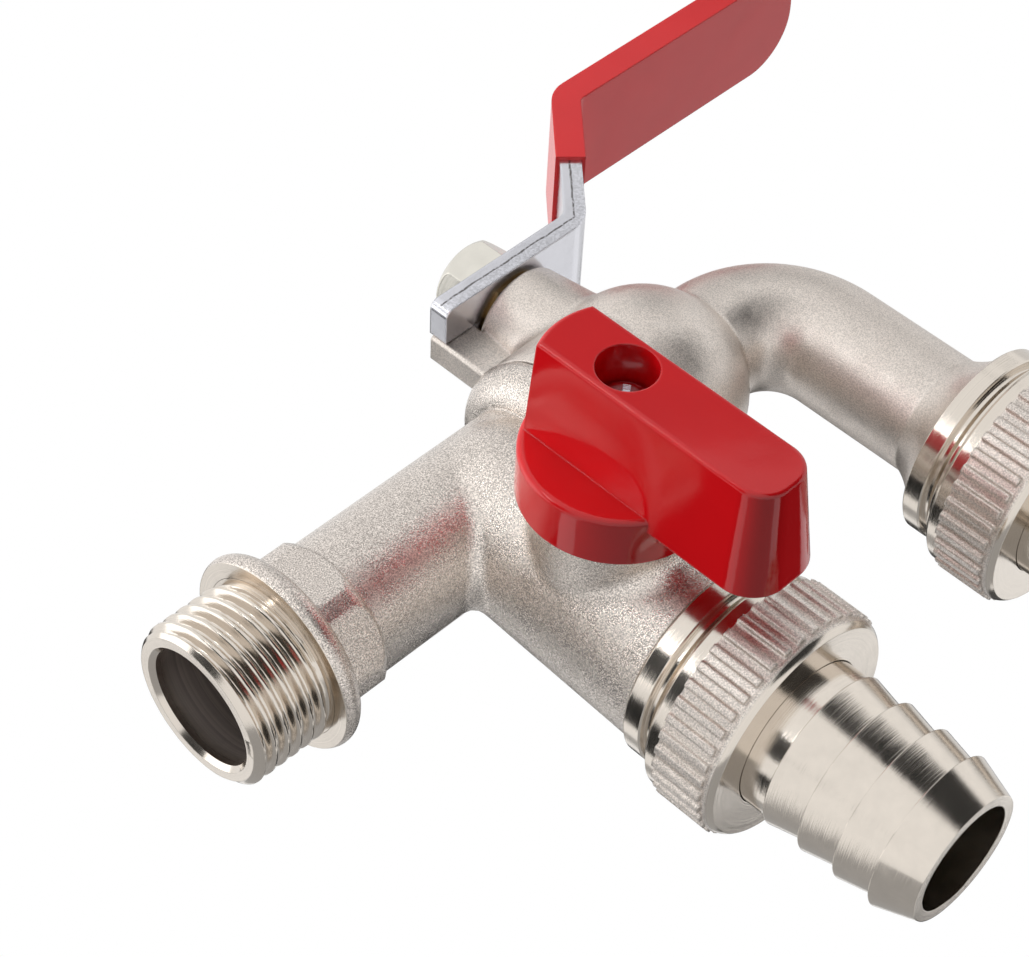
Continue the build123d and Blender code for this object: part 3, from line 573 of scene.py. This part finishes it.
class TAP_OT_castings(bpy.types.Operator):
    """Finishes the two castings, and models the inlet's thread"""

    bl_idname = "tap.castings"
    bl_label = "Castings"

    def execute(self, context):
        metal = context.scene.tap_metal

        def tee_bore_with_shade(tree, radius, height):
            """The waterway's wall, growing darker from its mouth inwards as painted shade of the bore."""
            wall = step_down(tree, radius, BORE_R + 0.1 * MM, BORE_R + 0.2 * MM)
            inside = step_up(tree, height, INLET_END + 0.3 * MM, INLET_END + 3 * MM)
            return math_node(tree, "MULTIPLY", wall, inside)

        def tee_turned(tree, radius, height):
            """All that stands out of the collar, and the bore."""
            thread = step_down(tree, height, 0.0, 0.15 * MM)
            bore = step_down(tree, radius, BORE_R + 0.2 * MM, BORE_R + 0.4 * MM)
            return math_node(tree, "MAXIMUM", thread, bore)

        def spout_turned(tree, radius, height):
            """The turned end of the spout, below the casting."""
            return step_down(tree, height, CASTING_END - 0.3 * MM, CASTING_END)

        tee_finish = casting_finish("cast_tee", metal, "X", (0, 0, 0), 1.0, tee_turned, tee_bore_with_shade)
        valve_finish = casting_finish("cast_valve", metal, "Z", (SPOUT_X, 0, 0), 0.5, spout_turned)
        dress(["inlet_tee"], tee_finish)
        dress(["valve_body"], valve_finish)
        body = copy_of("inlet_tee", "tee_casting")
        thread = self.sleeve(context.scene.tap_thread, self.cut_blank(body))
        thread.data.materials.append(tee_finish)
        for piece in (body, thread):
            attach(piece, BODY_OF["inlet_tee"])
        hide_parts("inlet_tee")
        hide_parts("inlet_tee")
        return {"FINISHED"}

    def cut_blank(self, body):
        """Deletes the thread's plain blank from the copy, and gives the x of the bore's mouth."""
        only(body)
        bpy.ops.object.mode_set(mode="EDIT")
        bpy.ops.mesh.select_mode(type="FACE")
        bpy.ops.object.mode_set(mode="OBJECT")
        vertices = body.data.vertices
        bored = {vertex.index for vertex in vertices
                 if math.hypot(vertex.co.y, vertex.co.z) < BORE_R + BORE_TOLERANCE}
        for polygon in body.data.polygons:
            before_collar = polygon.center.x < -COLLAR_TOLERANCE
            polygon.select = before_collar and not bored.issuperset(polygon.vertices)
        mouth = min(vertices[index].co.x for index in bored)
        bpy.ops.object.mode_set(mode="EDIT")
        bpy.ops.mesh.delete(type="FACE")
        bpy.ops.object.mode_set(mode="OBJECT")
        return mouth

    def stations(self, sizes, mouth):
        """Places along the sleeve, from the bore's mouth to the ring at the collar."""
        start, end = INLET_END, -sizes.relief
        threaded = [(start + (end - start) * i / THREAD_ALONG, "thread")
                    for i in range(THREAD_ALONG + 1)]
        return [(mouth, "bore"), (start, "bore"), *threaded, (0.0, "relief"), (0.0, "ring")]

    def sleeve(self, sizes, mouth):
        """Rolls a grid into the threaded sleeve, with the bore's bevel inside its end."""
        places = self.stations(sizes, mouth)
        rows = len(places) - 1
        bpy.ops.object.select_all(action="DESELECT")
        bpy.ops.mesh.primitive_grid_add(x_subdivisions=rows, y_subdivisions=THREAD_AROUND, size=2)
        piece = bpy.context.object
        piece.name = "inlet_thread"
        for vertex in piece.data.vertices:
            x, kind = places[round((vertex.co.x + 1) / 2 * rows)]
            turn = (vertex.co.y + 1) * math.pi
            r = self.radius_at(sizes, mouth, kind, x, turn)
            vertex.co = (x, r * math.cos(turn), r * math.sin(turn))
        only(piece)
        bpy.ops.object.mode_set(mode="EDIT")
        bpy.ops.mesh.select_all(action="SELECT")
        bpy.ops.mesh.remove_doubles(threshold=MERGE_DISTANCE)
        bpy.ops.mesh.normals_make_consistent(inside=False)
        bpy.ops.object.mode_set(mode="OBJECT")
        bpy.ops.object.shade_smooth_by_angle(angle=math.radians(40))
        return piece

    def radius_at(self, sizes, mouth, kind, x, turn):
        """Radius of the sleeve; the thread starts under a bevel and runs out into its relief."""
        relief_r = THREAD_R - sizes.root
        if kind == "bore":
            return BORE_R + mouth - x
        if kind == "relief":
            return relief_r
        if kind == "ring":
            return THREAD_R + RING_OVERLAP
        bevel_r = THREAD_R - sizes.lead + x - INLET_END
        run_out_r = relief_r + max(0, -sizes.relief - x) * RUN_OUT_SLOPE
        return min(self.helix_radius(sizes, x, turn), bevel_r, run_out_r)

    def helix_radius(self, sizes, x, turn):
        """Radius of the helical thread: narrow crest, straight flanks and a narrow round root."""
        phase = (x / sizes.pitch - turn / (2 * math.pi)) % 1
        flank = min(1, max(0, (abs(phase - 0.5) * 2 - CREST_SHARE) / FLANK_SHARE))
        soft = flank * flank * (3 - 2 * flank)
        return THREAD_R - sizes.depth * (0.6 * flank + 0.4 * soft)


class TAP_OT_couplings(bpy.types.Operator):
    """Finishes the nipple, the coupling nuts and the hose tails"""

    bl_idname = "tap.couplings"
    bl_label = "Couplings"

    def execute(self, context):
        metal = context.scene.tap_metal
        colour = metal.turned_colour
        for side, x in (("branch", BRANCH_X), ("spout", SPOUT_X)):
            centre = (x, 0, 0)
            dress([f"{side}_nut"], nut_finish(f"nut_{side}", metal, centre))
            dress([f"{side}_hose_tail"], turned_finish(f"tail_{side}", metal, colour, "Z", centre))
        nipple = turned_finish("nipple", metal, colour, "Z", (BRANCH_X, 0, 0))
        dress(["branch_nipple"], nipple)
        return {"FINISHED"}


class TAP_OT_lever(bpy.types.Operator):
    """Finishes the lever, its dipped coat and its nut"""

    bl_idname = "tap.lever"
    bl_label = "Lever"

    def execute(self, context):
        metal, red = context.scene.tap_metal, context.scene.tap_red
        nut = turned_finish("nut_plate", metal, NUT_PLATE, "Z", (LEVER_X, 0, 0), duller=0.07)
        dress(["lever"], zinc_finish("zinc_strip", metal, context.scene.tap_strip))
        dress(["lever_grip"], gloss_red("red_dip", red.coat_colour, 0.2, 0.1 * MM))
        dress(["lever_nut"], nut)
        return {"FINISHED"}


class TAP_OT_knob(bpy.types.Operator):
    """Finishes the knob and its screw"""

    bl_idname = "tap.knob"
    bl_label = "Knob"

    def execute(self, context):
        metal, red = context.scene.tap_metal, context.scene.tap_red
        centre = (BRANCH_X, 0, KNOB_Z)
        screw = turned_finish("screw_plate", metal, metal.zinc_colour, "Y", centre)
        dress(["knob"], gloss_red("red_knob", red.knob_colour, 0.08, 0.05 * MM))
        dress(["knob_screw"], screw)
        return {"FINISHED"}


class TAP_OT_inner_parts(bpy.types.Operator):
    """Finishes the balls, seats, stems and seals"""

    bl_idname = "tap.inner_parts"
    bl_label = "Inner parts"

    def execute(self, context):
        # by slot: name, colour, roughness, size and depth of the grain, metallic
        finishes = {
            "brass": ("turned_brass", BRASS, 0.28, 0.3 * MM, 0.01 * MM, 1.0),
            "chromed_ball": ("chrome", CHROME, 0.08, 1 * MM, 0.002 * MM, 1.0),
            "seal_plastic": ("seal_white", SEAL_WHITE, 0.5, 0.4 * MM, 0.01 * MM, 0.0),
            "black_rubber": ("rubber", RUBBER_BLACK, 0.6, 0.3 * MM, 0.02 * MM, 0.0),
        }
        for slot, (*values, metallic) in finishes.items():
            material = plain_finish(*values, Metallic=metallic)
            dress([name for name, own in SLOT_OF.items() if own == slot], material)
        return {"FINISHED"}


class TAP_OT_stage(bpy.types.Operator):
    """Sets the floor, the world, the lamps, the cards and the camera"""

    bl_idname = "tap.stage"
    bl_label = "Stage"

    def execute(self, context):
        studio = context.scene.tap_studio
        self.world(context, studio)
        self.floor()
        self.camera(context, studio)
        for name, shares, distance, width, height, radiance in LAMPS:
            self.lamp(name, self.facing(studio, shares, distance), width, height, radiance)
        for name, shares, distance, width, height, radiance in CARDS:
            self.card(name, self.facing(studio, shares, distance), width, height, radiance)
        return {"FINISHED"}

    def view_axes(self, studio):
        """The camera's right, up and forward."""
        forward = Vector(studio.look).normalized()
        right = forward.cross(Vector(studio.up)).normalized()
        return right, right.cross(forward), forward

    def facing(self, studio, shares, distance):
        """Place and turn of a lamp or card that stands off in a direction and faces the tap."""
        right, up, forward = self.view_axes(studio)
        back = (right * shares[0] + up * shares[1] - forward * shares[2]).normalized()
        across = up.cross(back)
        if across.length < 0.3:
            across = right - back * right.dot(back)
        across.normalize()
        turn = Matrix((across, back.cross(across), back)).transposed().to_4x4()
        return Matrix.Translation(OBJECT_CENTRE + back * distance) @ turn

    def world(self, context, studio):
        """White for the camera and for reflections, and a weak fill on the object."""
        world = bpy.data.worlds.new("studio")
        context.scene.world = world
        world.use_nodes = True
        tree = world.node_tree
        tree.nodes.clear()
        paths = node(tree, "ShaderNodeLightPath")
        camera, glossy, transmission = (paths.outputs[f"Is {kind} Ray"]
                                        for kind in ("Camera", "Glossy", "Transmission"))
        seen = math_node(tree, "MAXIMUM", camera, glossy)
        seen = math_node(tree, "MAXIMUM", seen, transmission)
        shaders = node(tree, "ShaderNodeMixShader")
        link(tree, seen, shaders.inputs[0])
        for socket, strength in zip(shaders.inputs[1:], (studio.fill, 1.0)):
            light = node(tree, "ShaderNodeBackground")
            light.inputs["Color"].default_value = WHITE
            light.inputs["Strength"].default_value = strength
            link(tree, light.outputs[0], socket)
        output = node(tree, "ShaderNodeOutputWorld")
        link(tree, shaders.outputs[0], output.inputs["Surface"])

    def floor(self):
        """Pale floor under the tap, seen from above only."""
        bpy.ops.object.select_all(action="DESELECT")
        bpy.ops.mesh.primitive_plane_add(size=FLOOR_SIZE,
                                         location=(0.05, 0, OBJECT_LOW - FLOOR_GAP))
        plane = bpy.context.object
        plane.name = "floor"
        plane.visible_shadow = False
        plane.visible_glossy = False
        plane.visible_diffuse = False
        material, tree, _ = new_finish("floor_paint", Base_Color=FLOOR_GREY, Roughness=0.9,
                                       Emission_Color=WHITE, Emission_Strength=0.3)
        paint, output = tree.nodes
        side = node(tree, "ShaderNodeNewGeometry")
        clear = node(tree, "ShaderNodeBsdfTransparent")
        shaders = node(tree, "ShaderNodeMixShader")
        link(tree, side.outputs["Backfacing"], shaders.inputs[0])
        link(tree, paint.outputs[0], shaders.inputs[1])
        link(tree, clear.outputs[0], shaders.inputs[2])
        link(tree, shaders.outputs[0], output.inputs["Surface"])
        plane.data.materials.append(material)

    def lamp(self, name, place, width, height, radiance):
        """Area lamp that lights the object and that reflections don't show."""
        data = bpy.data.lights.new(name, "AREA")
        data.shape = "RECTANGLE"
        data.size, data.size_y = width, height
        data.energy = radiance * math.pi * width * height
        lamp = bpy.data.objects.new(name, data)
        lamp.matrix_world = place
        lamp.visible_camera = False
        lamp.visible_glossy = False
        bpy.context.scene.collection.objects.link(lamp)

    def card(self, name, place, width, height, radiance):
        """White, grey or black card that only reflections see."""
        bpy.ops.object.select_all(action="DESELECT")
        bpy.ops.mesh.primitive_plane_add(size=1)
        card = bpy.context.object
        card.name = name
        card.matrix_world = place @ Matrix.Diagonal((width, height, 1, 1))
        card.visible_camera = False
        card.visible_diffuse = False
        card.visible_shadow = False
        material, _, _ = new_finish(name, Base_Color=BLACK, Roughness=1.0, Specular_IOR_Level=0.0,
                                    Emission_Color=WHITE, Emission_Strength=radiance)
        card.data.materials.append(material)

    def camera(self, context, studio):
        data = bpy.data.cameras.new("camera")
        data.sensor_width = SENSOR_WIDTH
        data.lens = studio.lens
        data.clip_start, data.clip_end = 0.01, 20
        camera = bpy.data.objects.new("camera", data)
        right, up, forward = self.view_axes(studio)
        turn = Matrix((right, up, -forward)).transposed().to_4x4()
        camera.matrix_world = Matrix.Translation(Vector(studio.eye)) @ turn
        context.scene.collection.objects.link(camera)
        context.scene.camera = camera
        context.scene.view_settings.view_transform = "Standard"


class TAP_PT_panel(bpy.types.Panel):
    """Sizes, colours and steps of the tap"""

    bl_label = "Garden Tap"
    bl_space_type = "VIEW_3D"
    bl_region_type = "UI"
    bl_category = "Garden Tap"

    def draw(self, context):
        for name, group in GROUPS.items():
            settings = getattr(context.scene, name)
            column = self.layout.column()
            for key in group.__annotations__:
                column.prop(settings, key)
        for step in STEPS:
            self.layout.operator(step.bl_idname)


STEPS = (TAP_OT_castings, TAP_OT_couplings, TAP_OT_lever, TAP_OT_knob, TAP_OT_inner_parts,
         TAP_OT_stage)
GROUPS = {"tap_metal": TapMetal, "tap_red": TapRed, "tap_strip": TapStrip,
          "tap_thread": TapThread, "tap_studio": TapStudio}
CLASSES = (*GROUPS.values(), *STEPS, TAP_PT_panel)


def register():
    for item in CLASSES:
        bpy.utils.register_class(item)
    for name, group in GROUPS.items():
        setattr(bpy.types.Scene, name, bpy.props.PointerProperty(type=group))


def unregister():
    for name in GROUPS:
        delattr(bpy.types.Scene, name)
    for item in reversed(CLASSES):
        bpy.utils.unregister_class(item)


def main():
    register()
    bpy.ops.tap.castings()
    bpy.ops.tap.couplings()
    bpy.ops.tap.lever()
    bpy.ops.tap.knob()
    bpy.ops.tap.inner_parts()
    bpy.ops.tap.stage()


if __name__ == "__main__":
    main()
